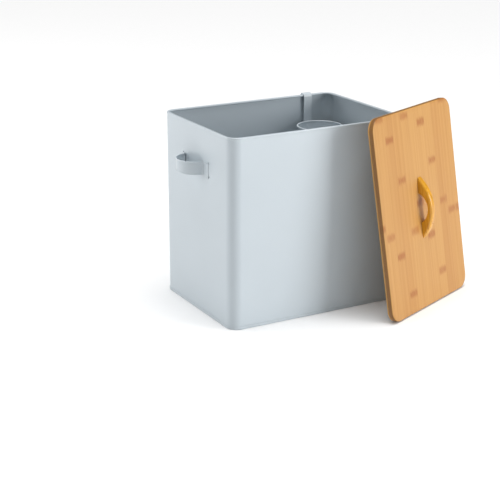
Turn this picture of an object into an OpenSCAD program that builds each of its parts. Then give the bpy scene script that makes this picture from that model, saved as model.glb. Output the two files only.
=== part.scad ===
// Open-top steel food bin with a loose bamboo lid and a hanging scoop.
// Origin: centre of the bin's footprint, on the floor. +X along the long side, +Y to the back, +Z up.
// The bin stands open. The scoop hangs by its hook on the back rim, and the lid stands on one short
// end and leans with its inner board against the bin's front right corner.

/* [Bin] */
// Outside length of the bin, along X
bin_l = 344; // [300:2:420]
// Outside width of the bin, along Y
bin_w = 250; // [220:2:320]
// Height of the bin, floor to top of the rolled rim
bin_h = 330; // [280:2:400]
// Outside radius of the bin's upright corners
corner_r = 20; // [14:1:30]
// Thickness of the wall sheet
sheet_t = 0.7; // [0.5:0.1:1]
// Outside diameter of the rolled rim
rim_d = 4.4; // [3.6:0.2:5.6]

/* [Base] */
// Height of the folded seam band around the foot
seam_h = 5.5; // [4:0.5:8]
// Height of the underside of the bottom panel above the floor
panel_z = 7; // [6:0.5:12]
// Thickness of the bottom sheet
pan_t = 0.8; // [0.6:0.1:1]

/* [Side handles] */
// Height of the strap
strap_h = 22.5; // [18:0.5:34]
// Thickness of the strap
strap_t = 1.2; // [1:0.1:1.6]
// Distance from the top of the rim down to the middle of the strap
handle_drop = 70; // [50:1:110]
// Radius of the bow, measured to the middle of the strap
bow_r = 33; // [27:0.5:36]
// How far the bow stands out from the wall
bow_out = 30.5; // [25:0.5:31]
// Distance between the two slots that a handle is clinched into
slot_span = 92; // [90:1:120]
// How far a handle's bow sits behind the middle of its side
bow_back = 6.5; // [0:0.5:8]

/* [Lid] */
// How far the lid passes the bin's wall on each side
lid_over = 3; // [2:0.5:8]
// Thickness of the lid board
lid_t = 11; // [9:0.5:16]
// Thickness of the inner board
plug_t = 5; // [5:0.5:12]
// Gap between the inner board and the inside of the rim
plug_gap = 2.5; // [2:0.1:4]

/* [Lid handle] */
// Length of the wooden bow handle
pull_l = 108; // [96:1:130]
// Height of the bow handle
pull_h = 23; // [21:0.5:28]
// Width of the bow handle
pull_w = 14; // [12:0.5:18]
// Length of the finger opening where it meets the lid
pull_gap_l = 52; // [44:1:60]
// Height of the finger opening
pull_gap_h = 15; // [12:0.5:17]

/* [Scoop] */
// Inside radius of the cup at its mouth
cup_r = 40; // [34:1:44]
// Inside radius of the cup at its base
cup_base_r = 35; // [30:1:38]
// Depth of the cup
cup_depth = 60; // [50:1:80]
// Distance from the top of the hook down to the mouth of the cup
scoop_drop = 52; // [44:1:80]
// Width of the scoop's strap
scoop_w = 17; // [14:0.5:20]
// Inside radius of the hook
hook_r = 6; // [5:0.5:9]
// Length of the hook's tail
hook_tail = 22; // [16:1:30]
// Place of the scoop along the back rim
scoop_x = 122; // [0:1:122]

/* [Leaning lid] */
// Angle between the leaning lid and the upright
lean_tilt = 9.5; // [8:0.1:14]
// Direction that the lid's outer face turns to, from straight front towards the right
lean_turn = 23.3; // [15:0.1:35]
// Where the rim's corner touches, off the lid's middle
lean_shift = 11; // [-20:1:20]

/* [Hidden] */
$fn = 96;
steel_blue = [0.80, 0.83, 0.87];
bamboo = [0.88, 0.69, 0.46];
amber = [0.78, 0.57, 0.18];

// Clearance between sheets folded together, and between loose pieces that rest on each other
fold_gap = 0.05;
rest_gap = 0.4;

// Rolled rim: it stands 0.4 mm proud of the wall outside, and the rest of it is inside
rim_r = rim_d / 2;
rim_proud = 0.4;
rim_in = rim_d - rim_proud;
rim_z = bin_h - rim_r;
curl_slot = 1.4;

// Back lock seam of the wall sheet
lock_w = 8;
lock_t = 0.6;

// Side handle: the bow's arc is joined to its feet by fillets
handle_z = bin_h - handle_drop;
bow_fillet = 3;
bow_c = bow_out - strap_t / 2 - bow_r;
fillet_v = bow_fillet + strap_t / 2;
fillet_u = sqrt(pow(bow_r + bow_fillet, 2) - pow(fillet_v - bow_c, 2));
fillet_a = atan2(fillet_v - bow_c, fillet_u);
slot_w = 2.6;
foot_out = slot_span / 2 - slot_w / 2 + fold_gap;
tab_l = 6;
hem_h = 2.2;
hem_t = 0.7;
relief_r = 2.3;
window_w = 9;
window_h = strap_h - 4.5;
window_u = bow_r - 1.5;

// Lid
lid_l = bin_l + 2 * lid_over;
lid_w = bin_w + 2 * lid_over;
lid_r = corner_r + lid_over;
edge_r = 2;
plug_in = lid_over + rim_in + plug_gap;
plug_l = lid_l - 2 * plug_in;
plug_w = lid_w - 2 * plug_in;
plug_r = lid_r - plug_in;
seal_h = 2.4;
seal_in = 2;
seal_lip = 1.4;
seal_z = -plug_t / 2;

// Lid handle and its screws
pull_r = (pow(pull_l / 2, 2) + pow(pull_h, 2)) / (2 * pull_h);
gap_r = (pow(pull_gap_l / 2, 2) + pow(pull_gap_h, 2)) / (2 * pull_gap_h);
pull_edge = 4;
screw_x = (pull_l + pull_gap_l) / 4 - 3;
screw_r = 1.8;
screw_head_r = 4;
screw_head_h = 2.4;
screw_bite = 8;

// Leaning lid: point in the middle of the outer face's bottom edge, found from the two contacts:
// the inner edge of the short end is on the floor, and the inner board rests on the rim's corner
lean_e = [cos(lean_turn), sin(lean_turn)];
lean_n = [sin(lean_turn), -cos(lean_turn)];
touch = [bin_l / 2 - corner_r, -(bin_w / 2 - corner_r)];
touch_out = (touch * lean_n) * cos(lean_tilt) + rim_z * sin(lean_tilt)
          + (corner_r + rim_proud - rim_r) * cos(lean_tilt) + rim_r + lid_t + plug_t + rest_gap;
lean_z = lid_t * sin(lean_tilt);
lean_out = (touch_out - lean_z * sin(lean_tilt)) / cos(lean_tilt);
lean_xy = lean_n * lean_out + lean_e * (touch * lean_e + lean_shift);

// Scoop: the hook's inside touches the rim 45 degrees before its top
cup_t = 0.8;
bead_r = 1.6;
scoop_t = 1.2;
rim_y = bin_w / 2 + rim_proud - rim_r;
hook_step = (hook_r - rim_r - rest_gap) * sin(45);
hook_y = rim_y + hook_step;
hook_z = rim_z - hook_step;
hook_open = 12;
strap_y = hook_y - hook_r - scoop_t;
mouth_z = hook_z + hook_r + scoop_t - scoop_drop;
cup_out = cup_r + cup_t;
cup_y = strap_y - (cup_out + bead_r + fold_gap);
cup_a = atan2(cup_r - cup_base_r, cup_depth - bead_r);
saddle_l = 22;
rivet_r = 2;
rivet_head_r = 3.4;
rivet_head_h = 1.4;
rivet_at = [6, 16];
rivet_under = cup_t + 0.3;

// The strap steps over the cup's bead at this angle from the vertical: it just clears the bead, and
// then the cup's side. Distances are out from the strap's straight face and up from the cup's mouth
step_a = 30;
step_top = -bead_r - (bead_r + fold_gap) * tan(step_a / 2);
step_l = (bead_r - (step_top + bead_r) * tan(cup_a)) / (sin(step_a) - cos(step_a) * tan(cup_a));
saddle_out = -step_l * sin(step_a);
saddle_top = step_top - step_l * cos(step_a);

// ---------------------------------------------------------------- shared shapes

// Sweeps a profile around a rectangle with rounded corners. The profile's X is the distance from
// the corner's centre, so its outside lies at X = r; its Y becomes height.
module around(l, w, r) {
    for (k = [0 : 3]) {
        out = k % 2 == 0 ? l / 2 : w / 2;
        along = k % 2 == 0 ? w / 2 : l / 2;
        rotate([0, 0, 90 * k]) translate([out - r, along - r, 0]) {
            rotate([90, 0, 0]) linear_extrude(2 * (along - r)) children();
            rotate_extrude(angle = 90) children();
        }
    }
}

// Flat plate with round corners, standing on z = 0
module plate(l, w, r, t) {
    translate([-l / 2 + r, -w / 2, 0]) cube([l - 2 * r, w, t]);
    translate([-l / 2, -w / 2 + r, 0]) cube([l, w - 2 * r, t]);
    for (x = [-1, 1], y = [-1, 1])
        translate([x * (l / 2 - r), y * (w / 2 - r), 0]) cylinder(h = t, r = r);
}

// Points along an arc, one every 8 degrees or so
function arc(c, r, a0, a1) = let (n = ceil(abs(a1 - a0) / 8))
    [for (i = [0 : n]) let (a = a0 + (a1 - a0) * i / n) c + r * [cos(a), sin(a)]];

// The same points from last to first
function back(p) = [for (i = [len(p) - 1 : -1 : 0]) p[i]];

// ---------------------------------------------------------------- bin

// Section of the wall: the flat sheet and the curl at its top, open underneath
module wall_profile() {
    foot = pan_t + fold_gap;
    translate([corner_r - sheet_t, foot]) square([sheet_t, rim_z - foot]);
    translate([corner_r + rim_proud - rim_r, rim_z]) difference() {
        circle(r = rim_r, $fn = 48);
        circle(r = rim_r - sheet_t, $fn = 48);
        translate([-rim_r / 2, -rim_d]) square([curl_slot, rim_d]);
    }
}

// Openings in the wall for one handle: a slot with round reliefs for each tab, and a window under
// each end of the bow, mostly covered by the strap's foot
module handle_slots() {
    for (s = [-1, 1]) {
        translate([0, s * slot_span / 2, handle_z]) cube([12, slot_w, strap_h + 0.6], center = true);
        for (k = [-1, 1]) translate([-6, s * slot_span / 2, handle_z + k * strap_h / 2])
            rotate([0, 90, 0]) cylinder(h = 12, r = relief_r, $fn = 32);
        translate([0, bow_back + s * window_u, handle_z]) cube([12, window_w, window_h], center = true);
    }
}

module bin_wall() color(steel_blue) {
    difference() {
        around(bin_l, bin_w, corner_r) wall_profile();
        for (s = [-1, 1]) translate([s * bin_l / 2, 0, 0]) handle_slots();
    }
    translate([-lock_w / 2, bin_w / 2 - sheet_t / 2, seam_h + 1])
        cube([lock_w, sheet_t / 2 + lock_t, bin_h - rim_d - seam_h - 2]);
}

// Section of the base's folded ring: it holds the foot of the wall from both sides
module pan_profile() {
    inner = corner_r - sheet_t - fold_gap - pan_t;
    translate([inner, 0]) square([corner_r + fold_gap + pan_t - inner, pan_t]);
    translate([inner, 0]) square([pan_t, panel_z + pan_t]);
    translate([corner_r + fold_gap, 0]) square([pan_t, seam_h - pan_t / 2]);
    translate([corner_r + fold_gap + pan_t / 2, seam_h - pan_t / 2]) circle(r = pan_t / 2, $fn = 24);
}

module bottom_pan() color(steel_blue) {
    inset = sheet_t + fold_gap;
    around(bin_l, bin_w, corner_r) pan_profile();
    translate([0, 0, panel_z])
        plate(bin_l - 2 * inset, bin_w - 2 * inset, corner_r - inset, pan_t);
}

// One half of a handle's plan, from the top of the bow to the end of the tab folded behind the
// wall, at a distance d outwards from the strap's middle line. X runs along the wall from the
// middle of the bow and Y points out of it, with the wall's outside at Y = 0.
function half_handle(d, foot_end) = concat(
    arc([0, bow_c], bow_r + d, 90, fillet_a),
    arc([fillet_u, fillet_v], bow_fillet - d, 180 + fillet_a, 270),
    arc([foot_end, -sheet_t / 2], (sheet_t + strap_t) / 2 + d, 90, -90),
    [[foot_end - tab_l, -sheet_t - strap_t / 2 - d]]);

// One half of the hem on the bow's edge: it stands out by hem_t
function half_hem() = concat(
    arc([0, bow_c], bow_r + strap_t / 2 + hem_t, 90, fillet_a),
    arc([0, bow_c], bow_r, fillet_a, 90));

module side_handle(side) color(steel_blue)
    translate([side * bin_l / 2, bow_back, handle_z]) rotate([0, 0, -90 * side])
        for (s = [-1, 1]) mirror([s < 0 ? 1 : 0, 0, 0]) {
            foot_end = foot_out + side * s * bow_back;
            linear_extrude(strap_h, center = true)
                polygon(concat(half_handle(strap_t / 2, foot_end),
                               back(half_handle(-strap_t / 2, foot_end))));
            for (k = [-1, 1]) translate([0, 0, k * (strap_h - hem_h) / 2])
                linear_extrude(hem_h, center = true) polygon(half_hem());
        }

module left_handle() side_handle(-1);

module right_handle() side_handle(1);

// ---------------------------------------------------------------- lid
// The lid is drawn lying flat, with the board's underside at z = 0, and is then stood up.

module leaning()
    translate([lean_xy.x, lean_xy.y, lean_z]) rotate([0, lean_tilt - 90, 90 + lean_turn])
        translate([lid_l / 2, 0, -lid_t]) children();

// Through holes for the handle's screws
module screw_holes(r) {
    for (s = [-1, 1]) translate([s * screw_x, 0, -plug_t - 1])
        cylinder(h = plug_t + lid_t + 2, r = r, $fn = 32);
}

module lid_board() color(bamboo) leaning() difference() {
    union() {
        plate(lid_l - 2 * edge_r, lid_w - 2 * edge_r, lid_r - edge_r, lid_t);
        around(lid_l, lid_w, lid_r) {
            translate([lid_r - 2 * edge_r, edge_r]) square([2 * edge_r, lid_t - 2 * edge_r]);
            for (z = [edge_r, lid_t - edge_r])
                translate([lid_r - edge_r, z]) circle(r = edge_r, $fn = 32);
        }
    }
    screw_holes(screw_r + 0.2);
}

module lid_plug() color(bamboo) leaning() difference() {
    translate([0, 0, -plug_t]) plate(plug_l, plug_w, plug_r, plug_t);
    around(plug_l, plug_w, plug_r)
        translate([plug_r - seal_in, seal_z - seal_h / 2]) square([seal_in + 1, seal_h]);
    screw_holes(screw_r + 0.2);
    for (s = [-1, 1]) translate([s * screw_x, 0, -plug_t - 0.01])
        cylinder(h = screw_head_h + 0.2, r1 = screw_head_r + 0.2, r2 = screw_r + 0.2, $fn = 32);
}

module lid_seal() color("white") leaning() around(plug_l, plug_w, plug_r) {
    translate([plug_r - seal_in + fold_gap, seal_z - seal_h / 2 + fold_gap])
        square([seal_in, seal_h - 2 * fold_gap]);
    translate([plug_r, seal_z]) difference() {
        circle(r = seal_lip, $fn = 32);
        translate([-2 * seal_lip, -seal_lip]) square([2 * seal_lip, 2 * seal_lip]);
    }
}

// Disc with a rounded edge, cut off by the lid, with a round opening for the fingers
module lid_handle() color(amber) leaning() translate([0, 0, lid_t]) difference() {
    intersection() {
        translate([0, 0, pull_h - pull_r]) rotate([90, 0, 0]) rotate_extrude() {
            translate([0, -pull_w / 2]) square([pull_r - pull_edge, pull_w]);
            translate([0, -pull_w / 2 + pull_edge]) square([pull_r, pull_w - 2 * pull_edge]);
            for (k = [-1, 1]) translate([pull_r - pull_edge, k * (pull_w / 2 - pull_edge)])
                circle(r = pull_edge, $fn = 32);
        }
        translate([-pull_l, -pull_w, 0]) cube([2 * pull_l, 2 * pull_w, 2 * pull_h]);
    }
    translate([0, pull_w, pull_gap_h - gap_r]) rotate([90, 0, 0]) cylinder(h = 2 * pull_w, r = gap_r);
    for (s = [-1, 1]) translate([s * screw_x, 0, -1]) cylinder(h = 1 + screw_bite, r = screw_r, $fn = 32);
}

module lid_screws() color("silver") leaning() for (s = [-1, 1])
    translate([s * screw_x, 0, -plug_t]) difference() {
        union() {
            cylinder(h = plug_t + lid_t + screw_bite, r = screw_r, $fn = 32);
            cylinder(h = screw_head_h, r1 = screw_head_r, r2 = screw_r, $fn = 32);
        }
        for (a = [0, 90]) rotate([0, 0, a]) translate([0, 0, 0.4]) cube([4.4, 1, 1.6], center = true);
    }

// ---------------------------------------------------------------- scoop

module scoop_cup() color(steel_blue) difference() {
    translate([scoop_x, cup_y, mouth_z - cup_depth]) rotate_extrude() difference() {
        union() {
            polygon([[0, 0], [cup_base_r + cup_t, 0], [cup_out, cup_depth - bead_r],
                     [cup_r, cup_depth - bead_r], [cup_base_r, cup_t], [0, cup_t]]);
            translate([cup_out, cup_depth - bead_r]) circle(r = bead_r, $fn = 32);
        }
        translate([-1, cup_t]) square([1, cup_depth]);
    }
    rivet_holes();
}

// Side view of the strap: X is towards the wall and Y is up, from the saddle on the cup,
// out past the cup's bead, up the wall, over the rim and down to the open tail
module scoop_side() {
    top = [saddle_out, saddle_top];
    low = top - saddle_l * [sin(cup_a), cos(cup_a)];
    bend = [0, step_top];
    thick = [scoop_t, 0];
    centre = [scoop_t + hook_r, hook_z - mouth_z];
    tail = hook_tail * [sin(hook_open), -cos(hook_open)];
    over = arc(centre, hook_r + scoop_t, 180, hook_open);
    under = arc(centre, hook_r, hook_open, 180);
    polygon(concat([low, top, bend], over, [over[len(over) - 1] + tail, under[0] + tail],
                   under, [bend + thick, top + thick, low + thick]));
}

// Places something on the saddle's middle line, this far down it, with its +Z pointing outwards
module on_saddle(down) {
    translate([scoop_x, strap_y + saddle_out - down * sin(cup_a),
               mouth_z + saddle_top - down * cos(cup_a)])
        rotate([-90 - cup_a, 0, 0]) children();
}

module rivet_holes() {
    for (d = rivet_at) on_saddle(d)
        cylinder(h = 12, r = rivet_r + fold_gap, center = true, $fn = 32);
}

module scoop_handle() color(steel_blue) difference() {
    translate([scoop_x - scoop_w / 2, strap_y, mouth_z])
        rotate([90, 0, 90]) linear_extrude(scoop_w) scoop_side();
    rivet_holes();
}

module scoop_rivets() color("silver") for (d = rivet_at) on_saddle(d) {
    translate([0, 0, -rivet_under - 0.5])
        cylinder(h = rivet_under + scoop_t + 1, r = rivet_r, $fn = 32);
    translate([0, 0, -rivet_under - 1]) cylinder(h = 1, r = rivet_head_r, $fn = 32);
    translate([0, 0, scoop_t]) intersection() {
        dome = (pow(rivet_head_r, 2) + pow(rivet_head_h, 2)) / (2 * rivet_head_h);
        translate([0, 0, rivet_head_h - dome]) sphere(r = dome);
        cylinder(h = rivet_head_h + 1, r = rivet_head_r + 1, $fn = 32);
    }
}

bin_wall();
bottom_pan();
left_handle();
right_handle();
lid_board();
lid_plug();
lid_seal();
lid_handle();
lid_screws();
scoop_cup();
scoop_handle();
scoop_rivets();
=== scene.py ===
"""Looks for an open steel food bin: its bamboo lid leans at the front right corner, its scoop hangs
on the back rim. Everything is in metres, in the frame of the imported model: origin in the middle of
the bin's footprint on the floor, +X along the long side, +Y to the back, +Z up."""

import math

import bmesh
import bpy
from mathutils import Matrix, Vector, noise


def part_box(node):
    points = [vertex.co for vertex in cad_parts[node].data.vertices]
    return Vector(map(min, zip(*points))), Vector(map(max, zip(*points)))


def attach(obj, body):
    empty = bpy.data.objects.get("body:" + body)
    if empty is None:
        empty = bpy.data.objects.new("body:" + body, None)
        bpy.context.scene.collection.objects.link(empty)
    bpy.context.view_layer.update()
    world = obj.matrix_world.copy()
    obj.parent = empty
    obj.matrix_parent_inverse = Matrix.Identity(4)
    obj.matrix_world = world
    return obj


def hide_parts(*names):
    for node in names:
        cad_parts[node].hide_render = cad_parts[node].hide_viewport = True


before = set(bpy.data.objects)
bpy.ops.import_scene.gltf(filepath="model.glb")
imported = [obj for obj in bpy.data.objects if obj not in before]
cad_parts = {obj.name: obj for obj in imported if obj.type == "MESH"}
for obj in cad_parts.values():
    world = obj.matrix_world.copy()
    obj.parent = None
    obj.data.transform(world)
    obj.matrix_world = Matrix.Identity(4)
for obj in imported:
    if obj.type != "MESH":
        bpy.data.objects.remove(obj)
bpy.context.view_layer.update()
MM = 0.001

# ------------------------------------------------------------------ sizes, in millimetres
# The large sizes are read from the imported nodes; the rest repeat the design's own values.


def size_mm(node):
    lo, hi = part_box(node)
    return (hi - lo) / MM


def top_mm(node):
    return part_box(node)[1] / MM


CORNER_R = 20.0
SHEET = 0.7
RIM_R = 2.2
RIM_PROUD = 0.4
PAN_T = 0.8
FOLD_GAP = 0.05
SEAM_H = 5.5
PANEL_Z = 7.0

BIN_H = top_mm("bin_wall").z
BIN_L = size_mm("bin_wall").x - 2 * RIM_PROUD
BIN_W = size_mm("bottom_pan").y - 2 * (FOLD_GAP + PAN_T)
RIM_Z = BIN_H - RIM_R

STRAP_H = size_mm("left_handle").z
STRAP_T = 1.2
HANDLE_Z = top_mm("left_handle").z - STRAP_H / 2
BOW_R = 33.0
BOW_OUT = 30.5
BOW_FILLET = 3.0
BOW_BACK = 6.5
SLOT_SPAN = 92.0
TAB_L = 6.0
HEM_H = 2.2
HEM_T = 0.7
SLOT_W = 2.6
RELIEF_R = 2.3
WINDOW_W = 9.0
WINDOW_H = STRAP_H - 4.5
WINDOW_U = BOW_R - 1.5

LID_OVER = 3.0
LID_L = BIN_L + 2 * LID_OVER
LID_W = BIN_W + 2 * LID_OVER
LID_R = CORNER_R + LID_OVER
LID_T = 11.0
PLUG_T = 5.0
PLUG_IN = LID_OVER + 2 * RIM_R - RIM_PROUD + 2.5
PLUG_L = LID_L - 2 * PLUG_IN
PLUG_W = LID_W - 2 * PLUG_IN
PLUG_R = LID_R - PLUG_IN
SEAL_H = 2.4
SEAL_IN = 2.0
SEAL_LIP = 1.4

PULL_L = 108.0
PULL_H = 23.0
PULL_W = 14.0
PULL_GAP_L = 52.0
PULL_GAP_H = 15.0
PULL_EDGE = 4.0
SCREW_X = (PULL_L + PULL_GAP_L) / 4 - 3
SCREW_R = 1.8
SCREW_HEAD_R = 4.0
SCREW_HEAD_H = 2.4
SCREW_BITE = 8.0

LEAN_TILT = math.radians(9.5)
LEAN_TURN = math.radians(23.3)
LEAN_SHIFT = 11.0
REST_GAP = 0.4

CUP_R = 40.0
CUP_BASE_R = 35.0
CUP_DEPTH = size_mm("scoop_cup").z
CUP_T = 0.8
BEAD_R = 1.6
SCOOP_X = (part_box("scoop_cup")[0].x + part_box("scoop_cup")[1].x) / 2 / MM
CUP_Y = (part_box("scoop_cup")[0].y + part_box("scoop_cup")[1].y) / 2 / MM
MOUTH_Z = top_mm("scoop_cup").z
SCOOP_W = 17.0
SCOOP_T = 1.2
HOOK_R = 6.0
HOOK_TAIL = 22.0
HOOK_OPEN = math.radians(12)
HOOK_Z = top_mm("scoop_handle").z - HOOK_R - SCOOP_T
CUP_OUT = CUP_R + CUP_T
STRAP_Y = CUP_Y + CUP_OUT + BEAD_R + FOLD_GAP
CUP_A = math.atan2(CUP_R - CUP_BASE_R, CUP_DEPTH - BEAD_R)
SADDLE_L = 22.0
STEP_A = math.radians(30)
STEP_TOP = -BEAD_R - (BEAD_R + FOLD_GAP) * math.tan(STEP_A / 2)
STEP_L = (BEAD_R - (STEP_TOP + BEAD_R) * math.tan(CUP_A)) / (
    math.sin(STEP_A) - math.cos(STEP_A) * math.tan(CUP_A))
SADDLE_OUT = -STEP_L * math.sin(STEP_A)
SADDLE_TOP = STEP_TOP - STEP_L * math.cos(STEP_A)
RIVET_AT = (6.0, 16.0)
RIVET_R = 2.0
RIVET_HEAD_R = 3.4
RIVET_HEAD_H = 1.4
RIVET_UNDER = CUP_T + 0.3

# ------------------------------------------------------------------ mesh helpers


def arc(cx, cy, r, a0, a1, n):
    """n + 1 points on an arc, angles in degrees."""
    out = []
    for i in range(n + 1):
        a = math.radians(a0 + (a1 - a0) * i / n)
        out.append((cx + r * math.cos(a), cy + r * math.sin(a)))
    return out


def ring_of(length, width, r, corner_n, side_step):
    """Stations round a rectangle with round corners: (x, y, outward x, outward y), in millimetres."""
    stations = []
    for k in range(4):
        turn = math.radians(90 * k)
        out, along = (length / 2, width / 2) if k % 2 == 0 else (width / 2, length / 2)
        flat = 2 * (along - r)
        n_side = max(2, round(flat / side_step))
        local = [(out, -flat / 2 + flat * i / n_side, 0.0) for i in range(n_side)]
        for i in range(corner_n):
            a = math.radians(90 * i / corner_n)
            local.append((out - r + r * math.cos(a), flat / 2 + r * math.sin(a), a))
        for x, y, a in local:
            c, s = math.cos(turn), math.sin(turn)
            stations.append((x * c - y * s, x * s + y * c, math.cos(a + turn), math.sin(a + turn)))
    return stations


def make_mesh(name, verts, faces, sharp=35.0):
    """A mesh object from millimetre points; edges sharper than the angle stay sharp."""
    mesh = bpy.data.meshes.new(name)
    mesh.from_pydata([Vector(v) * MM for v in verts], [], faces)
    bm = bmesh.new()
    bm.from_mesh(mesh)
    bmesh.ops.remove_doubles(bm, verts=bm.verts, dist=1e-7)
    bmesh.ops.recalc_face_normals(bm, faces=bm.faces)
    set_smooth(bm, sharp)
    bm.to_mesh(mesh)
    bm.free()
    obj = bpy.data.objects.new(name, mesh)
    bpy.context.scene.collection.objects.link(obj)
    return obj


def set_smooth(bm, sharp):
    limit = math.radians(sharp)
    for f in bm.faces:
        f.smooth = True
    for e in bm.edges:
        if len(e.link_faces) == 2:
            e.smooth = e.calc_face_angle(0.0) < limit
        else:
            e.smooth = False


def strip_faces(n_out, n_in, close_out, close_in):
    """Quads between n_out rows of n_in points each."""
    faces = []
    for i in range(n_out if close_out else n_out - 1):
        for j in range(n_in if close_in else n_in - 1):
            a, b = i * n_in + j, i * n_in + (j + 1) % n_in
            c, d = ((i + 1) % n_out) * n_in + (j + 1) % n_in, ((i + 1) % n_out) * n_in + j
            faces.append((a, b, c, d))
    return faces


def around(name, length, width, r, profile, caps=False, corner_n=14, side_step=12.0, shift=None,
           sharp=35.0):
    """Sweeps a profile round a rounded rectangle. Profile points are (outwards from the outline,
    height). With caps the profile is open, and its two ends are closed with flat faces."""
    stations = ring_of(length, width, r, corner_n, side_step)
    verts = []
    for x, y, nx, ny in stations:
        for o, z in profile:
            p = Vector((x + nx * o, y + ny * o, z))
            verts.append(p + shift(p, nx, ny) if shift else p)
    n, m = len(stations), len(profile)
    faces = strip_faces(n, m, True, not caps)
    if caps:
        faces.append([i * m for i in range(n)])
        faces.append([i * m + m - 1 for i in range(n)])
    return make_mesh(name, verts, faces, sharp)


def lathe(name, profile, n=64, sharp=35.0):
    """Turns a profile of (radius, height) about the Z axis; a radius of 0 closes it on the axis."""
    verts, index = [], []
    for radius, z in profile:
        if radius < 1e-6:
            index.append([len(verts)] * n)
            verts.append((0, 0, z))
        else:
            index.append(list(range(len(verts), len(verts) + n)))
            for i in range(n):
                a = 2 * math.pi * i / n
                verts.append((radius * math.cos(a), radius * math.sin(a), z))
    faces = []
    for lo, hi in zip(index, index[1:]):
        for i in range(n):
            corners = [lo[i], lo[(i + 1) % n], hi[(i + 1) % n], hi[i]]
            kept = [c for k, c in enumerate(corners) if c not in corners[:k]]
            if len(kept) > 2:
                faces.append(kept)
    return make_mesh(name, verts, faces, sharp)


def ribbon(name, path, section, to_world, sharp=35.0):
    """A flat strap. path is a list of (point, normal) in a plane; section(i) gives the outline
    there as (along the normal, across the strap); to_world maps (x, y, across) to a point."""
    verts = []
    for i, (p, nrm) in enumerate(path):
        for d, across in section(i):
            verts.append(to_world(p[0] + nrm[0] * d, p[1] + nrm[1] * d, across))
    n, m = len(path), len(section(0))
    faces = strip_faces(n, m, False, True)
    faces.append(list(range(m)))
    faces.append([(n - 1) * m + j for j in range(m)])
    return make_mesh(name, verts, faces, sharp)


def with_normals(points):
    """Points of a path with their unit normals, to the left of the way that it runs."""
    out = []
    for i, p in enumerate(points):
        a, b = points[max(0, i - 1)], points[min(len(points) - 1, i + 1)]
        d = Vector((b[0] - a[0], b[1] - a[1])).normalized()
        out.append((p, (-d.y, d.x)))
    return out


def cut(obj, cutters, sharp=35.0):
    """Subtracts the cutters from obj, and keeps the result as plain mesh."""
    for c in cutters:
        mod = obj.modifiers.new("cut", "BOOLEAN")
        mod.operation = "DIFFERENCE"
        mod.solver = "EXACT"
        mod.object = c
    graph = bpy.context.evaluated_depsgraph_get()
    mesh = bpy.data.meshes.new_from_object(obj.evaluated_get(graph))
    obj.modifiers.clear()
    old, obj.data = obj.data, mesh
    bpy.data.meshes.remove(old)
    bm = bmesh.new()
    bm.from_mesh(mesh)
    bmesh.ops.dissolve_degenerate(bm, dist=1e-6, edges=bm.edges)
    set_smooth(bm, sharp)
    bm.to_mesh(mesh)
    bm.free()
    for c in cutters:
        bpy.data.objects.remove(c)


def finish_piece(obj, body, slot, material, *nodes, place=None):
    """Places a piece, gives it its material, parents it to its body's empty, and hides the imported nodes
    it stands for.
    """
    if place is not None:
        obj.matrix_world = place
    obj.data.materials.clear()
    obj.data.materials.append(material)
    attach(obj, body)
    if nodes:
        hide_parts(*nodes)
    return obj


def bends(points, radii, n=8):
    """A path through the points whose corners are rounded; radii are those of the inner corners."""
    out = [tuple(points[0])]
    for before, p, after, r in zip(points, points[1:], points[2:], radii):
        a = (Vector(p) - Vector(before)).normalized()
        b = (Vector(after) - Vector(p)).normalized()
        reach = r * math.tan(a.angle(b) / 2)
        for i in range(n + 1):
            t = i / n
            curve = Vector(p) - a * reach * (1 - t) ** 2 + b * reach * t ** 2
            out.append(tuple(curve))
    return out + [tuple(points[-1])]


def smoothstep(lo, hi, x):
    t = min(1.0, max(0.0, (x - lo) / (hi - lo)))
    return t * t * (3 - 2 * t)


# ------------------------------------------------------------------ material helpers


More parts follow.
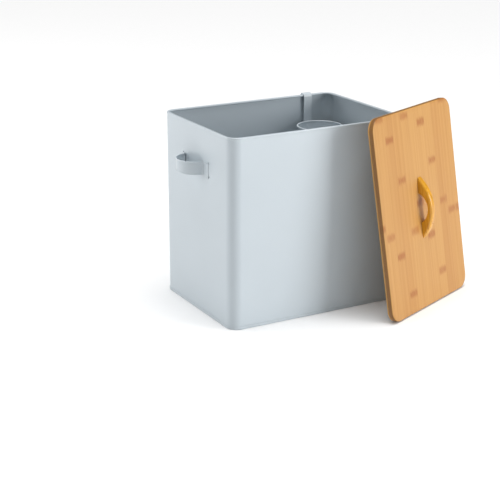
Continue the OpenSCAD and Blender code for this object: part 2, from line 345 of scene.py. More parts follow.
class Shader:
    """A material with a Principled shader, and short calls for its nodes."""

    def __init__(self, name, color, roughness, specular=0.5):
        self.material = bpy.data.materials.new(name)
        self.material.use_nodes = True
        self.tree = self.material.node_tree
        self.bsdf = self.tree.nodes["Principled BSDF"]
        self.bsdf.inputs["Base Color"].default_value = (*color, 1)
        self.bsdf.inputs["Roughness"].default_value = roughness
        self.bsdf.inputs["Specular IOR Level"].default_value = specular
        self.coords = self.node("ShaderNodeTexCoord").outputs["Object"]
        self.geometry = self.node("ShaderNodeNewGeometry")

    def node(self, kind, inputs=None, **props):
        n = self.tree.nodes.new(kind)
        for k, v in props.items():
            setattr(n, k, v)
        for k, v in (inputs or {}).items():
            if hasattr(v, "node"):
                self.tree.links.new(v, n.inputs[k])
            else:
                n.inputs[k].default_value = v
        return n

    def scaled(self, x, y, z):
        """Object coordinates multiplied, so a texture is stretched: cells per metre along each axis."""
        return self.node("ShaderNodeMapping", {"Vector": self.coords, "Scale": (x, y, z)},
                         vector_type="POINT").outputs["Vector"]

    def noise(self, vector, scale=1.0, detail=3.0, rough=0.5, distortion=0.0):
        return self.node("ShaderNodeTexNoise", {"Vector": vector, "Scale": scale, "Detail": detail,
                         "Roughness": rough, "Distortion": distortion}).outputs["Fac"]

    def ramp(self, fac, *stops):
        n = self.node("ShaderNodeValToRGB", {"Fac": fac})
        elements = n.color_ramp.elements
        while len(elements) < len(stops):
            elements.new(0.5)
        for e, (pos, col) in zip(elements, stops):
            e.position = pos
            e.color = (*col, 1) if hasattr(col, "__len__") else (col, col, col, 1)
        return n.outputs["Color"]

    def math(self, op, a, b=0.0, clamp=False):
        return self.node("ShaderNodeMath", {0: a, 1: b}, operation=op, use_clamp=clamp).outputs[0]

    def range(self, value, lo, hi, to_lo, to_hi):
        return self.node("ShaderNodeMapRange", {"Value": value, "From Min": lo, "From Max": hi,
                         "To Min": to_lo, "To Max": to_hi}).outputs["Result"]

    def mix(self, fac, a, b, blend="MIX"):
        n = self.node("ShaderNodeMix", data_type="RGBA", blend_type=blend)
        for socket, v in ((n.inputs[0], fac), (n.inputs[6], a), (n.inputs[7], b)):
            if hasattr(v, "node"):
                self.tree.links.new(v, socket)
            else:
                socket.default_value = (*v, 1) if hasattr(v, "__len__") else v
        return n.outputs[2]

    def split(self, vector=None):
        n = self.node("ShaderNodeSeparateXYZ", {"Vector": vector or self.coords})
        return n.outputs["X"], n.outputs["Y"], n.outputs["Z"]

    def bump(self, height, distance, strength=1.0, normal=None):
        inputs = {"Height": height, "Distance": distance, "Strength": strength}
        if normal is not None:
            inputs["Normal"] = normal
        return self.node("ShaderNodeBump", inputs).outputs["Normal"]

    def set(self, **links):
        for name, v in links.items():
            socket = self.bsdf.inputs[name.replace("_", " ")]
            if hasattr(v, "node"):
                self.tree.links.new(v, socket)
            else:
                socket.default_value = v
        return self


def powder_coat(name, color, dark):
    """Baked powder paint: fine orange peel, faint cloudiness, and patches a little rougher or smoother."""
    s = Shader(name, color, 0.30, 0.6)
    cloud = s.noise(s.coords, 7.0, 2.0)
    speck = s.noise(s.coords, 700.0, 2.0, 0.6)
    tone = s.ramp(cloud, (0.3, color), (0.7, [c * 0.98 for c in color]))
    speckled = s.mix(s.range(speck, 0.40, 0.80, 0.0, 0.06), tone, dark)
    s.set(Base_Color=speckled)
    patches = s.noise(s.coords, 10.0, 2.0, 0.5)
    s.set(Roughness=s.range(patches, 0.3, 0.7, 0.30, 0.34))
    peel = s.noise(s.coords, 420.0, 2.0, 0.5)
    grain = s.noise(s.coords, 1500.0, 2.0, 0.6)
    ripple = s.bump(peel, 0.00006, 0.25)
    s.set(Normal=s.bump(grain, 0.00002, 0.20, ripple))
    return s.material


def bamboo(name, light, mid, deep, seed, strip=0.0260, plies=True):
    """Glued bamboo: strips of slightly different tone along X, long fibres, and the brown bars of
    the culm's nodes. The edge shows the board's plies."""
    s = Shader(name, mid, 0.42, 0.4)
    x, y, z = s.split()
    across = s.math("ADD", s.math("DIVIDE", y, strip), 40.37 + seed)
    lane = s.math("FLOOR", across)
    tone_of = s.node("ShaderNodeTexWhiteNoise", {"W": lane}, noise_dimensions="1D").outputs["Value"]
    shift_of = s.node("ShaderNodeTexWhiteNoise", {"W": s.math("ADD", lane, 91.7)},
                      noise_dimensions="1D").outputs["Value"]
    darkest = [0.7 * m + 0.3 * d for m, d in zip(mid, deep)]
    lane_color = s.ramp(tone_of, (0.0, light), (0.6, mid), (1.0, darkest))

    # fibres: long and thin, a different pattern in each strip
    combine = s.node("ShaderNodeCombineXYZ", {
        "X": s.math("ADD", s.math("MULTIPLY", x, 5.0), s.math("MULTIPLY", lane, 7.31)),
        "Y": s.math("MULTIPLY", y, 620.0), "Z": s.math("MULTIPLY", z, 300.0)}).outputs["Vector"]
    fibre = s.noise(combine, 1.0, 4.0, 0.62)
    broad = s.noise(s.node("ShaderNodeCombineXYZ", {
        "X": s.math("MULTIPLY", x, 2.2), "Y": s.math("MULTIPLY", y, 130.0),
        "Z": s.math("MULTIPLY", z, 60.0)}).outputs["Vector"], 1.0, 3.0)
    streaked = s.mix(s.range(fibre, 0.36, 0.72, 0.0, 0.55), lane_color, deep)
    streaked = s.mix(s.range(broad, 0.4, 0.7, 0.0, 0.45), streaked, light)

    # nodes: one brown bar about every 0.2 m along a strip, broken up by the fibres
    node_every = 0.20
    along = s.math("ADD", s.math("DIVIDE", x, node_every), s.math("MULTIPLY", shift_of, 5.0))
    offset = s.math("ABSOLUTE", s.math("SUBTRACT", s.math("FRACT", along), 0.5))
    ragged = s.math("ADD", offset, s.math("MULTIPLY", s.math("SUBTRACT", fibre, 0.5), 0.11))
    bar = s.range(ragged, 0.016, 0.042, 1.0, 0.0)
    bar = s.math("MULTIPLY", bar, s.range(shift_of, 0.0, 1.0, 0.7, 1.0))
    bar = s.math("MULTIPLY", bar, s.range(fibre, 0.36, 0.56, 0.6, 1.0))
    side = s.math("ABSOLUTE", s.math("SUBTRACT", s.math("FRACT", across), 0.5))
    bar = s.math("MULTIPLY", bar, s.range(side, 0.40, 0.49, 1.0, 0.3))
    node_color = [c * f for c, f in zip(deep, (0.84, 0.62, 0.40))]
    marked = s.mix(s.math("MULTIPLY", bar, 0.95), streaked, node_color)

    # glue lines between the strips
    seam = s.range(side, 0.485, 0.5, 0.0, 0.35)
    color = s.mix(seam, marked, node_color)
    if plies:
        normal_z = s.math("ABSOLUTE", s.split(s.node("ShaderNodeVectorTransform", {
            "Vector": s.geometry.outputs["Normal"]}, vector_type="NORMAL", convert_from="WORLD",
            convert_to="OBJECT").outputs["Vector"])[2])
        edge = s.range(normal_z, 0.45, 0.7, 1.0, 0.0)
        outer_ply = s.range(z, 0.0034, 0.0038, 0.0, 1.0)
        glue = s.range(s.math("ABSOLUTE", s.math("SUBTRACT", z, 0.0036)), 0.0001, 0.0003, 1.0, 0.0)
        end_grain = s.noise(s.scaled(900, 900, 500), 1.0, 2.0)
        brown = s.mix(s.range(end_grain, 0.4, 0.65, 0.0, 0.6), [c * 0.55 for c in deep],
                      [c * 0.33 for c in deep])
        pale = s.mix(s.range(end_grain, 0.4, 0.65, 0.0, 0.5), light, mid)
        ply = s.mix(outer_ply, pale, brown)
        ply = s.mix(s.math("MULTIPLY", glue, 0.7), ply, [c * 0.25 for c in deep])
        color = s.mix(s.math("MULTIPLY", edge, 0.8), color, ply)
    s.set(Base_Color=color, Roughness=s.range(fibre, 0.3, 0.7, 0.36, 0.52))
    height = s.math("SUBTRACT", s.math("MULTIPLY", fibre, 0.5), s.math("MULTIPLY", seam, 1.6))
    s.set(Normal=s.bump(height, 0.00025, 0.35))
    s.bsdf.inputs["Coat Weight"].default_value = 0.12
    s.bsdf.inputs["Coat Roughness"].default_value = 0.28
    return s.material


def stained_wood(name, light, mid, deep):
    """Amber-stained hardwood under satin varnish: grain along X, pores and a little figure."""
    s = Shader(name, mid, 0.34, 0.5)
    x, y, z = s.split()
    lines = s.node("ShaderNodeCombineXYZ", {"X": s.math("MULTIPLY", x, 16.0),
                   "Y": s.math("MULTIPLY", y, 420.0), "Z": s.math("MULTIPLY", z, 420.0)}).outputs[0]
    grain = s.noise(lines, 1.0, 4.0, 0.6, 0.4)
    figure = s.noise(s.scaled(9, 60, 60), 1.0, 3.0)
    color = s.ramp(grain, (0.25, deep), (0.5, mid), (0.8, light))
    color = s.mix(s.range(figure, 0.35, 0.7, 0.0, 0.4), color, deep)
    s.set(Base_Color=color, Roughness=s.range(grain, 0.3, 0.7, 0.26, 0.40))
    s.set(Normal=s.bump(grain, 0.0002, 0.25))
    s.bsdf.inputs["Coat Weight"].default_value = 0.35
    s.bsdf.inputs["Coat Roughness"].default_value = 0.18
    return s.material


def silicone(name):
    s = Shader(name, (0.82, 0.83, 0.80), 0.45, 0.4)
    haze = s.noise(s.coords, 120.0, 3.0)
    s.set(Base_Color=s.ramp(haze, (0.3, (0.80, 0.81, 0.78)), (0.7, (0.88, 0.88, 0.86))))
    s.set(Roughness=s.range(haze, 0.3, 0.7, 0.38, 0.55))
    s.set(Normal=s.bump(s.noise(s.coords, 900.0, 2.0), 0.00004, 0.3))
    s.bsdf.inputs["Subsurface Weight"].default_value = 0.35
    s.bsdf.inputs["Subsurface Radius"].default_value = (0.004, 0.004, 0.004)
    s.bsdf.inputs["Subsurface Scale"].default_value = 1.0
    return s.material


def zinc(name):
    s = Shader(name, (0.62, 0.62, 0.60), 0.32)
    s.bsdf.inputs["Metallic"].default_value = 1.0
    stain = s.noise(s.coords, 500.0, 3.0)
    s.set(Base_Color=s.ramp(stain, (0.35, (0.66, 0.66, 0.64)), (0.7, (0.50, 0.50, 0.47))))
    s.set(Roughness=s.range(stain, 0.3, 0.7, 0.22, 0.42))
    s.set(Normal=s.bump(s.noise(s.coords, 2500.0, 2.0), 0.00002, 0.3))
    return s.material


PAINT = (0.545, 0.608, 0.650)
bin_paint = powder_coat("bin_powder_coat", PAINT, (0.45, 0.50, 0.55))
pan_paint = powder_coat("pan_powder_coat", [c * 0.98 for c in PAINT], (0.44, 0.49, 0.54))
handle_paint = powder_coat("handle_powder_coat", PAINT, (0.45, 0.50, 0.55))
scoop_paint = powder_coat("scoop_powder_coat", (0.600, 0.660, 0.700), (0.49, 0.54, 0.58))
rivet_paint = powder_coat("rivet_powder_coat", (0.585, 0.645, 0.685), (0.48, 0.53, 0.57))
LIGHT, MID, DEEP = (0.560, 0.300, 0.085), (0.512, 0.254, 0.064), (0.415, 0.178, 0.039)
lid_wood = bamboo("lid_bamboo", LIGHT, MID, DEEP, 0.0)
# The inner board uses the lid's bamboo tones darkened to 0.6: painted shade for the lid's underside, which
# faces the bin while the lid leans.
PLUG_SHADE = 0.6
shaded_tones = [[c * PLUG_SHADE for c in tone] for tone in (LIGHT, MID, DEEP)]
shaded_plug_wood = bamboo("plug_bamboo", *shaded_tones, 13.0, strip=0.0290, plies=False)
pull_stain = stained_wood("pull_wood", (0.80, 0.43, 0.035), (0.68, 0.32, 0.015), (0.42, 0.17, 0.006))
seal_rubber = silicone("seal_silicone")
screw_zinc = zinc("screw_zinc")

# ------------------------------------------------------------------ camera

CAM_TURN = math.radians(29.3)
CAM_DOWN = math.radians(18.42)
CAM_ROLL = math.radians(0.15)
CAM_AIM = Vector((-0.0626, 0.0078, 0.0878))
CAM_AWAY = 2.281
CAM_LENS = 92.45


def add_camera():
    data = bpy.data.cameras.new("camera")
    data.lens, data.sensor_width = CAM_LENS, 36.0
    cam = bpy.data.objects.new("camera", data)
    bpy.context.scene.collection.objects.link(cam)
    look = Vector((math.sin(CAM_TURN) * math.cos(CAM_DOWN), math.cos(CAM_TURN) * math.cos(CAM_DOWN),
                   -math.sin(CAM_DOWN)))
    cam.location = CAM_AIM - look * CAM_AWAY
    turn = look.to_track_quat("-Z", "Y").to_matrix() @ Matrix.Rotation(CAM_ROLL, 3, "Z")
    cam.rotation_euler = turn.to_euler()
    data.clip_start, data.clip_end = 0.05, 150.0
    bpy.context.scene.camera = cam


add_camera()

# ------------------------------------------------------------------ bin

HANDLE_BOW_C = BOW_OUT - STRAP_T / 2 - BOW_R
FILLET_V = BOW_FILLET + STRAP_T / 2
FILLET_U = math.sqrt((BOW_R + BOW_FILLET) ** 2 - (FILLET_V - HANDLE_BOW_C) ** 2)
FILLET_A = math.degrees(math.atan2(FILLET_V - HANDLE_BOW_C, FILLET_U))
FOOT_OUT = SLOT_SPAN / 2 - SLOT_W / 2 + FOLD_GAP


def sheet_swell(p, nx, ny):
    """The faint waves of a thin flat sheet: nothing at corners, rim, foot and handles."""
    flat = abs(nx) > 0.999 or abs(ny) > 0.999
    if not flat:
        return Vector((0, 0, 0))
    side, half = (p.y, BIN_W / 2) if abs(nx) > 0.5 else (p.x, BIN_L / 2)
    fade = smoothstep(0, 45, half - CORNER_R - abs(side))
    fade *= smoothstep(10, 60, p.z) * smoothstep(4, 50, BIN_H - p.z)
    if abs(nx) > 0.5:
        fade *= smoothstep(55, 85, math.hypot(p.y, p.z - HANDLE_Z))
    wave = noise.noise(Vector((p.x * 0.011, p.y * 0.011, p.z * 0.009)) + Vector((3.1, 7.7, 1.3)))
    return Vector((nx, ny, 0)) * wave * 0.55 * fade


def slot_cutters():
    """Cutters for a slot with round reliefs at each end of a handle, and a window beside each."""
    cutters = []
    half = (STRAP_H + 0.6) / 2
    outer_neck, bow_neck = 0.45, SLOT_W / 2
    outer_a = math.degrees(math.acos(outer_neck / RELIEF_R))
    bow_a = math.degrees(math.acos(bow_neck / RELIEF_R))
    slot = arc(0, half, RELIEF_R, -outer_a, 180 + bow_a, 20)
    slot += arc(0, -half, RELIEF_R, 180 - bow_a, 360 + outer_a, 20)
    r = 1.5
    u, v = WINDOW_W / 2 - r, WINDOW_H / 2 - r
    window = arc(u, -v, r, -90, 0, 4) + arc(u, v, r, 0, 90, 4)
    window += arc(-u, v, r, 90, 180, 4) + arc(-u, -v, r, 180, 270, 4)
    for side in (-1, 1):
        for end in (-1, 1):
            for shape, y in ((slot, end * SLOT_SPAN / 2), (window, BOW_BACK + end * WINDOW_U)):
                verts = [(side * BIN_L / 2 + x, y + end * across, HANDLE_Z + up)
                         for x in (-4, 4) for across, up in shape]
                n = len(shape)
                faces = [list(range(n)), list(range(n, 2 * n))]
                faces += [(i, (i + 1) % n, n + (i + 1) % n, n + i) for i in range(n)]
                cutters.append(make_mesh("cutter", verts, faces))
    return cutters


def build_wall():
    foot = PAN_T + FOLD_GAP
    curl_o = RIM_PROUD - RIM_R
    heights = [foot + (RIM_Z - 4 - foot) * i / 26 for i in range(27)]
    outer = [(0, z) for z in heights] + [(0.0, RIM_Z - 2.4), (0.08, RIM_Z - 1.9)]
    outer += arc(curl_o, RIM_Z, RIM_R, -24, 238, 26)
    inner = arc(curl_o, RIM_Z, RIM_R - SHEET, 238, -20, 22)
    inner += [(-SHEET + 0.05, RIM_Z - 1.6), (-SHEET, RIM_Z - 2.4)]
    inner += [(-SHEET, z) for z in reversed(heights)]
    wall = around("bin_wall_sheet", BIN_L, BIN_W, CORNER_R, outer + inner, corner_n=16,
                  side_step=11.0, shift=sheet_swell)
    cut(wall, slot_cutters(), 32.0)
    finish_piece(wall, "bin", "bin_steel", bin_paint, "bin_wall")

    # back lock seam: the folded joint of the sheet, outside, with soft edges
    half_w, proud, y = 4.0, 0.6, BIN_W / 2 - 0.1
    section = [(-half_w - 0.5, y), (-half_w + 0.1, y + proud * 0.75), (-half_w + 0.7, y + proud + 0.1),
               (half_w - 0.7, y + proud + 0.1), (half_w - 0.1, y + proud * 0.75), (half_w + 0.5, y)]
    rows = [SEAM_H + 1 + (BIN_H - 4.4 - SEAM_H - 2) * i / 20 for i in range(21)]
    verts = [(x, yy, z) for z in rows for x, yy in section]
    m = len(section)
    faces = strip_faces(len(rows), m, False, True)
    faces += [list(range(m)), [(len(rows) - 1) * m + j for j in range(m)]]
    seam = make_mesh("bin_lock_seam", verts, faces)
    finish_piece(seam, "bin", "bin_steel", bin_paint)


def build_pan():
    """Folded ring round the foot of the wall, and the bottom panel with its pressed field."""
    t, top = PAN_T, PANEL_Z + PAN_T
    out = FOLD_GAP + t
    inn = -SHEET - FOLD_GAP - t
    press = 1.0
    under = [(-17.5, PANEL_Z + press), (-13.5, PANEL_Z + press), (-12.3, PANEL_Z + press - 0.25),
             (-10.2, PANEL_Z + 0.25), (-9, PANEL_Z), (inn - 0.9, PANEL_Z), (inn - 0.3, PANEL_Z - 0.25),
             (inn, PANEL_Z - 0.9)]
    under += [(inn, 0.5), (inn + 0.15, 0.15), (inn + 0.5, 0.0)]
    ring = [(out - 1.6, 0.0)] + arc(out - 1.6, 1.6, 1.6, -75, 0, 6) + [(out, SEAM_H - t / 2)]
    ring += arc(FOLD_GAP + t / 2, SEAM_H - t / 2, t / 2, 20, 180, 8)
    ring += [(FOLD_GAP, t + 0.05), (inn + t, t + 0.05)]
    over = [(inn + t, top - 0.5), (inn + t - 0.15, top - 0.15), (inn + t - 0.5, top), (-9, top),
            (-10.2, top + 0.25), (-12.3, top + press - 0.25), (-13.5, top + press), (-17.5, top + press)]
    pan = around("bottom_pan_sheet", BIN_L, BIN_W, CORNER_R, under + ring + over, caps=True,
                 corner_n=16, side_step=16.0)
    finish_piece(pan, "bin", "pan_steel", pan_paint, "bottom_pan")


def strap_section(half_w, t, hem=0.0, r=0.45):
    """Outline of a strap with rounded edges; hem raises the outer side along both edges."""
    half = t / 2
    out = arc(-half + r, -half_w + r, r, 180, 270, 4)
    out += arc(half - r + hem * HEM_T, -half_w + r, r, 270, 360, 4)
    out += [(half + hem * HEM_T, -half_w + HEM_H * 0.75), (half + hem * HEM_T * 0.55, -half_w + HEM_H),
            (half, -half_w + HEM_H * 1.12), (half, -half_w * 0.4), (half, half_w * 0.4),
            (half, half_w - HEM_H * 1.12), (half + hem * HEM_T * 0.55, half_w - HEM_H),
            (half + hem * HEM_T, half_w - HEM_H * 0.75)]
    out += arc(half - r + hem * HEM_T, half_w - r, r, 0, 90, 4)
    out += arc(-half + r, half_w - r, r, 90, 180, 4)
    return out


def handle_half(foot_end):
    """Middle line of the strap from the top of the bow to the end of the tab behind the wall."""
    half = arc(0, HANDLE_BOW_C, BOW_R, 90, FILLET_A, 26)
    half += arc(FILLET_U, FILLET_V, BOW_FILLET, 180 + FILLET_A, 270, 8)[1:]
    half += [(FILLET_U + (foot_end - FILLET_U) * k, STRAP_T / 2) for k in (0.33, 0.66)]
    half += arc(foot_end, -SHEET / 2, (SHEET + STRAP_T) / 2, 90, -90, 12)
    return half + [(foot_end - TAB_L * k, -SHEET - STRAP_T / 2) for k in (0.5, 0.93, 1.0)]


def build_handle(side, name, node):
    front, rear = handle_half(FOOT_OUT + BOW_BACK), handle_half(FOOT_OUT - BOW_BACK)
    path = with_normals([(-x, y) for x, y in reversed(front)] + rear[1:])
    bow_u = BOW_R * math.cos(math.radians(FILLET_A))
    bow_v = HANDLE_BOW_C + BOW_R * math.sin(math.radians(FILLET_A))

    def section(i):
        u, v = path[i][0]
        on_bow = abs(u) <= bow_u + 0.01 and v >= bow_v - 0.01
        return strap_section(STRAP_H / 2, STRAP_T, smoothstep(bow_v, bow_v + 5, v) if on_bow else 0.0)

    def to_world(u, v, across):
        return (side * (BIN_L / 2 + v), BOW_BACK + u, HANDLE_Z + across)

    strap = ribbon(name, path, section, to_world, 40.0)
    finish_piece(strap, "bin", "handle_steel", handle_paint, node)


build_wall()
build_pan()
build_handle(-1, "left_handle_strap", "left_handle")
build_handle(1, "right_handle_strap", "right_handle")

# ------------------------------------------------------------------ lid
# Built lying flat with the board's underside at z = 0, and then stood up by LEAN.


def lean_matrix():
    e = Vector((math.cos(LEAN_TURN), math.sin(LEAN_TURN), 0))
    n = Vector((math.sin(LEAN_TURN), -math.cos(LEAN_TURN), 0))
    touch = Vector((BIN_L / 2 - CORNER_R, -(BIN_W / 2 - CORNER_R), 0))
    c, s = math.cos(LEAN_TILT), math.sin(LEAN_TILT)
    out = touch.dot(n) * c + RIM_Z * s + (CORNER_R + RIM_PROUD - RIM_R) * c + RIM_R
    out += LID_T + PLUG_T + REST_GAP
    foot_z = LID_T * s
    foot = n * ((out - foot_z * s) / c) + e * (touch.dot(e) + LEAN_SHIFT) + Vector((0, 0, foot_z))
    turn = Matrix.Rotation(math.pi / 2 + LEAN_TURN, 4, "Z")
    turn = turn @ Matrix.Rotation(LEAN_TILT - math.pi / 2, 4, "Y")
    shift = Matrix.Translation(Vector((LID_L / 2, 0, -LID_T)) * MM)
    return Matrix.Translation(foot * MM) @ turn @ shift


LEAN = lean_matrix()


def build_board():
    low, high = 1.8, 2.0
    profile = [(-9, 0), (-low, 0)] + arc(-low, low, low, -90, 0, 7)[1:]
    profile += arc(-high, LID_T - high, high, 0, 90, 7) + [(-9, LID_T)]
    board = around("lid_board_slab", LID_L, LID_W, LID_R, profile, caps=True, corner_n=18,
                   side_step=30.0)
    finish_piece(board, "lid", "lid_bamboo", lid_wood, "lid_board", place=LEAN)


def build_plug():
    gz = -PLUG_T / 2
    profile = [(-8, -0.02), (-0.2, -0.02), (0, -0.2), (0, gz + SEAL_H / 2), (-SEAL_IN, gz + SEAL_H / 2),
               (-SEAL_IN, gz - SEAL_H / 2), (0, gz - SEAL_H / 2), (0, -PLUG_T + 0.9)]
    profile += arc(-0.9, -PLUG_T + 0.9, 0.9, 0, -90, 5)[1:] + [(-8, -PLUG_T)]
    plug = around("lid_inner_board", PLUG_L, PLUG_W, PLUG_R, profile, caps=True, corner_n=14,
                  side_step=40.0, sharp=30.0)
    seats = []
    for s in (-1, 1):
        seat = lathe("cutter", [(0, -PLUG_T - 1), (SCREW_HEAD_R + 0.25, -PLUG_T - 1),
                     (SCREW_HEAD_R + 0.25, -PLUG_T + 0.15), (SCREW_R + 0.2, -PLUG_T + SCREW_HEAD_H + 0.2),
                     (0, -PLUG_T + SCREW_HEAD_H + 0.2)], 32)
        seat.data.transform(Matrix.Translation((s * SCREW_X * MM, 0, 0)))
        seats.append(seat)
    cut(plug, seats, 30.0)
    finish_piece(plug, "lid", "plug_bamboo", shaded_plug_wood, "lid_plug", place=LEAN)


def build_seal():
    gz = -PLUG_T / 2
    half, lip = SEAL_H / 2 - 0.06, SEAL_LIP - 0.05
    profile = [(-SEAL_IN + 0.06, gz - half), (-0.1, gz - half), (0.12, gz - half + 0.14)]
    profile += [(lip - 0.15, gz - 0.5), (lip, gz - 0.2), (lip, gz + 0.1), (lip - 0.15, gz + 0.25),
                (0.3, gz + 0.45), (0.12, gz + half - 0.2)]
    profile += [(-0.1, gz + half), (-SEAL_IN + 0.06, gz + half)]
    seal = around("lid_seal_ring", PLUG_L, PLUG_W, PLUG_R, profile, corner_n=14, side_step=40.0,
                  sharp=50.0)
    finish_piece(seal, "lid", "seal_silicone", seal_rubber, "lid_seal", place=LEAN)


def pull_slices():
    """Pairs of points (on the underside, on the outer arc) along the bow handle, tip to tip."""
    half, gap = PULL_L / 2, PULL_GAP_L / 2
    big = (half ** 2 + PULL_H ** 2) / (2 * PULL_H)
    small = (gap ** 2 + PULL_GAP_H ** 2) / (2 * PULL_GAP_H)
    big_a, small_a = math.asin(half / big), math.asin(gap / small)
    shoulder = big_a * 0.64
    slices = []
    n_foot, n_bow = 16, 44
    for i in range(n_foot + 1):
        t = (i / n_foot) ** 0.85
        a = big_a * 0.992 + (shoulder - big_a * 0.992) * t
        under = half * 0.985 + (gap - half * 0.985) * t
        slices.append(((-under, 0.0), (-big * math.sin(a), big * math.cos(a) - big + PULL_H)))
    for i in range(1, n_bow):
        t = -1 + 2 * i / n_bow
        a, b = shoulder * t, small_a * t
        slices.append(((small * math.sin(b), small * math.cos(b) - small + PULL_GAP_H),
                       (big * math.sin(a), big * math.cos(a) - big + PULL_H)))
    return slices + [((-u[0], u[1]), (-o[0], o[1])) for u, o in reversed(slices[:n_foot + 1])]


def build_pull():
    verts = []
    slices = pull_slices()
    for under, outer in slices:
        base, tip = Vector(under), Vector(outer)
        thick = (tip - base).length
        up = (tip - base) / thick
        tip_in = smoothstep(0, 9, PULL_L / 2 - abs(base.x))
        half_w = PULL_W / 2 * (0.78 + 0.22 * tip_in)
        r = min(PULL_EDGE, thick * 0.62)
        lifted = under[1] > 0.4
        rb = min(1.1 if lifted else 0.25, thick * 0.2)
        outline = arc(half_w - rb, rb, rb, -90, 0, 4) + arc(half_w - r, thick - r, r, 0, 90, 8)
        outline += arc(-half_w + r, thick - r, r, 90, 180, 8) + arc(-half_w + rb, rb, rb, 180, 270, 4)
        for y, h in outline:
            p = base + up * h
            verts.append((p.x, y, LID_T + max(0.0, p.y)))
    m = len(verts) // len(slices)
    faces = strip_faces(len(slices), m, False, True)
    faces += [list(range(m)), [(len(slices) - 1) * m + j for j in range(m)]]
    pull = make_mesh("lid_bow_handle", verts, faces, 42.0)
    finish_piece(pull, "lid", "pull_wood", pull_stain, "lid_handle", place=LEAN)


def build_lid_screws():
    """Countersunk screws with a cross recess and a turned thread."""
    for k, s in enumerate((-1, 1)):
        length = PLUG_T + LID_T + SCREW_BITE
        profile = [(0, 0.0), (SCREW_HEAD_R - 0.5, 0.0), (SCREW_HEAD_R, 0.25), (SCREW_R, SCREW_HEAD_H)]
        z = SCREW_HEAD_H + 8
        profile.append((SCREW_R, z))
        while z < length - 2.5:
            profile += [(SCREW_R - 0.45, z + 0.4), (SCREW_R - 0.45, z + 0.9), (SCREW_R, z + 1.2)]
            z += 1.6
        profile.append((0, length))
        screw = lathe(f"lid_screw_{k + 1}", profile, 32, 30.0)
        blades = []
        for a in (0, 90):
            w, h, deep = 0.5, 2.1, 1.3
            verts = [(x * (0.6 if z > 0 else 1.0), y, z) for z in (-1, deep) for x, y in
                     ((-h, -w), (h, -w), (h, w), (-h, w))]
            faces = [(0, 1, 2, 3), (4, 5, 6, 7), (0, 1, 5, 4), (1, 2, 6, 5), (2, 3, 7, 6), (3, 0, 4, 7)]
            blade = make_mesh("cutter", verts, faces)
            blade.data.transform(Matrix.Rotation(math.radians(a + 20 * k), 4, "Z"))
            blades.append(blade)
        cut(screw, blades, 30.0)
        seat = Matrix.Translation(Vector((s * SCREW_X, 0, -PLUG_T)) * MM)
        nodes = ("lid_screws",) if k == 0 else ()
        finish_piece(screw, "lid", "screw_steel", screw_zinc, *nodes, place=LEAN @ seat)


build_board()
build_plug()
build_seal()
build_pull()
build_lid_screws()

# ------------------------------------------------------------------ scoop


def build_cup():
    t, r = CUP_T, 3.2
    slope = (CUP_R - CUP_BASE_R) / (CUP_DEPTH - BEAD_R)
    out_base = CUP_BASE_R + t
    bead = CUP_DEPTH - BEAD_R
    profile = [(0, 0.35), (12, 0.35), (13, 0.0), (out_base - r, 0.0)]
    profile += arc(out_base - r + slope * r, r, r, -80, 0, 8)
    profile += [(out_base + slope * z, z) for z in (12, 24, 36, 48)]
    profile += [(CUP_OUT - slope * BEAD_R - 0.05, bead - BEAD_R + 0.05)]
    profile += arc(CUP_OUT, bead, BEAD_R, -80, 170, 20)
    profile += [(CUP_R - 0.45, bead - 0.6), (CUP_R - 0.3, bead - 2.2)]
    profile += [(CUP_BASE_R + slope * z, z) for z in (48, 36, 24, 12)]
    profile += arc(CUP_BASE_R - r + t + slope * r, r, r - t, 0, -84, 7)
    profile += [(CUP_BASE_R - r, t), (13, t), (12, t + 0.35), (0, t + 0.35)]
    cup = lathe("scoop_cup_shell", profile, 96)
    place = Matrix.Translation(Vector((SCOOP_X, CUP_Y, MOUTH_Z - CUP_DEPTH)) * MM)
    finish_piece(cup, "scoop", "scoop_steel", scoop_paint, "scoop_cup", place=place)


def build_scoop_strap():
    """Flat strap: saddle on the cup, step over the bead, straight rise, hook and open tail."""
    half = Vector((SCOOP_T / 2, 0))
    down = Vector((math.sin(CUP_A), math.cos(CUP_A))) * SADDLE_L
    top = Vector((SADDLE_OUT, SADDLE_TOP)) + half
    bend = Vector((0, STEP_TOP)) + half
    points = [tuple(top - down * (1 - k / 8)) for k in (0, 0.15, 0.3, 0.6, 1, 1.6, 3, 5)]
    points += bends((tuple(top - down * 0.25), tuple(top), tuple(bend), (bend.x, 12)), (4.0, 2.5))[:-1]
    rise = HOOK_Z - MOUTH_Z
    points += [(SCOOP_T / 2, rise * k / 6) for k in range(1, 6)]
    mid_r = HOOK_R + SCOOP_T / 2
    centre = Vector((SCOOP_T + HOOK_R, rise))
    points += arc(centre.x, centre.y, mid_r, 180, math.degrees(HOOK_OPEN), 26)
    end = Vector(points[-1])
    tail = Vector((math.sin(HOOK_OPEN), -math.cos(HOOK_OPEN)))
    steps = (0.3, 0.6, 0.8, 0.86, 0.91, 0.95, 0.98, 0.995, 1.0)
    points += [tuple(end + tail * HOOK_TAIL * k) for k in steps]
    path = with_normals(points)
    lengths = [0.0]
    for a, b in zip(points, points[1:]):
        lengths.append(lengths[-1] + math.dist(a, b))
    round_r = 4.0

    def section(i):
        from_end = min(lengths[i], lengths[-1] - lengths[i])
        short = max(0.0, round_r - from_end)
        half_w = SCOOP_W / 2 - (round_r - math.sqrt(round_r ** 2 - short ** 2)) * 0.9
        return strap_section(half_w, SCOOP_T)

    def to_world(u, v, across):
        cup_here = CUP_OUT + v * math.tan(CUP_A)
        hug = cup_here - math.sqrt(cup_here ** 2 - across ** 2)
        hug *= 1 - smoothstep(SADDLE_TOP - 1, STEP_TOP + 1, v)
        return (SCOOP_X + across, STRAP_Y + u - hug, MOUTH_Z + v)

    strap = ribbon("scoop_strap", path, section, to_world, 40.0)
    finish_piece(strap, "scoop", "scoop_steel", scoop_paint, "scoop_handle")


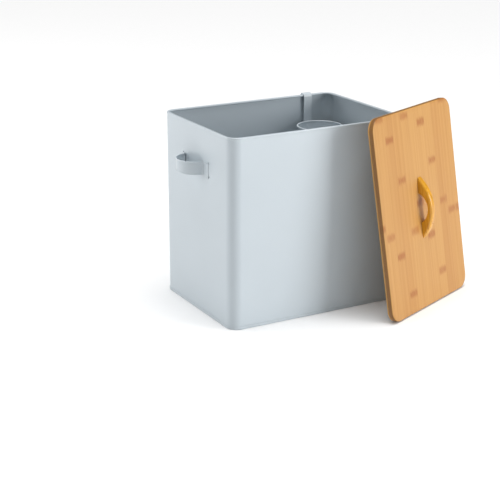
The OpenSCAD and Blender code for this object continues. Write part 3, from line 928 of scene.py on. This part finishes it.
def build_rivets():
    dome = (RIVET_HEAD_R ** 2 + RIVET_HEAD_H ** 2) / (2 * RIVET_HEAD_H)
    span = math.degrees(math.asin(RIVET_HEAD_R / dome))
    for k, d in enumerate(RIVET_AT):
        head = SCOOP_T + 0.02
        under = -RIVET_UNDER
        profile = [(0, under - 1), (RIVET_HEAD_R - 0.4, under - 1), (RIVET_HEAD_R, under - 0.7),
                   (RIVET_HEAD_R, under - 0.15), (RIVET_HEAD_R - 0.15, under), (RIVET_R, under)]
        profile += [(RIVET_R, head), (RIVET_HEAD_R, head), (RIVET_HEAD_R, head + 0.05)]
        curve = arc(0, head + RIVET_HEAD_H - dome, dome, 90 - span, 90, 8)
        profile += [(x, z) for x, z in curve[1:-1]] + [(0, head + RIVET_HEAD_H)]
        rivet = lathe(f"scoop_rivet_{k + 1}", profile, 40, 30.0)
        at = Vector((SCOOP_X, STRAP_Y + SADDLE_OUT - d * math.sin(CUP_A),
                     MOUTH_Z + SADDLE_TOP - d * math.cos(CUP_A)))
        place = Matrix.Translation(at * MM) @ Matrix.Rotation(-math.pi / 2 - CUP_A, 4, "X")
        nodes = ("scoop_rivets",) if k == 0 else ()
        finish_piece(rivet, "scoop", "rivet_steel", rivet_paint, *nodes, place=place)


build_cup()
build_scoop_strap()
build_rivets()

# ------------------------------------------------------------------ studio


def add_floor():
    mesh = bpy.data.meshes.new("floor")
    reach = 60.0
    mesh.from_pydata([(-reach, -reach, 0), (reach, -reach, 0), (reach, reach, 0), (-reach, reach, 0)],
                     [], [(0, 1, 2, 3)])
    floor = bpy.data.objects.new("floor", mesh)
    bpy.context.scene.collection.objects.link(floor)
    s = Shader("floor_paper", (0.95, 0.95, 0.95), 0.75, 0.2)
    s.set(Base_Color=s.ramp(s.noise(s.coords, 40.0, 3.0), (0.3, 0.955), (0.7, 0.945)))
    mesh.materials.append(s.material)


def add_light(name, where, toward, size, power):
    data = bpy.data.lights.new(name, "AREA")
    data.shape = "RECTANGLE"
    data.size, data.size_y = size
    data.energy = power
    light = bpy.data.objects.new(name, data)
    bpy.context.scene.collection.objects.link(light)
    light.location = where
    light.rotation_euler = (Vector(toward) - Vector(where)).to_track_quat("-Z", "Y").to_euler()


def add_studio():
    target = (0.0, 0.0, 0.15)
    add_light("side_left", (-2.2, 2.0, 0.85), target, (1.4, 1.4), 34.0)
    add_light("side_right", (2.0, -2.2, 0.85), target, (1.4, 1.4), 58.0)
    sky = bpy.data.lights.new("overhead", "SUN")
    sky.energy, sky.angle = 2.7, math.radians(50)
    overhead = bpy.data.objects.new("overhead", sky)
    bpy.context.scene.collection.objects.link(overhead)

    # the world lights the object a little, and is white behind the floor's edge
    world = bpy.data.worlds.new("studio")
    bpy.context.scene.world = world
    world.use_nodes = True
    back = world.node_tree.nodes["Background"]
    back.inputs["Color"].default_value = (1, 1, 1, 1)
    fill, seen = 0.14, 1.0
    path = world.node_tree.nodes.new("ShaderNodeLightPath")
    level = world.node_tree.nodes.new("ShaderNodeMapRange")
    level.inputs["To Min"].default_value = fill
    level.inputs["To Max"].default_value = seen
    world.node_tree.links.new(path.outputs["Is Camera Ray"], level.inputs["Value"])
    world.node_tree.links.new(level.outputs["Result"], back.inputs["Strength"])


add_floor()
add_studio()
bpy.context.scene.view_settings.view_transform = "Standard"
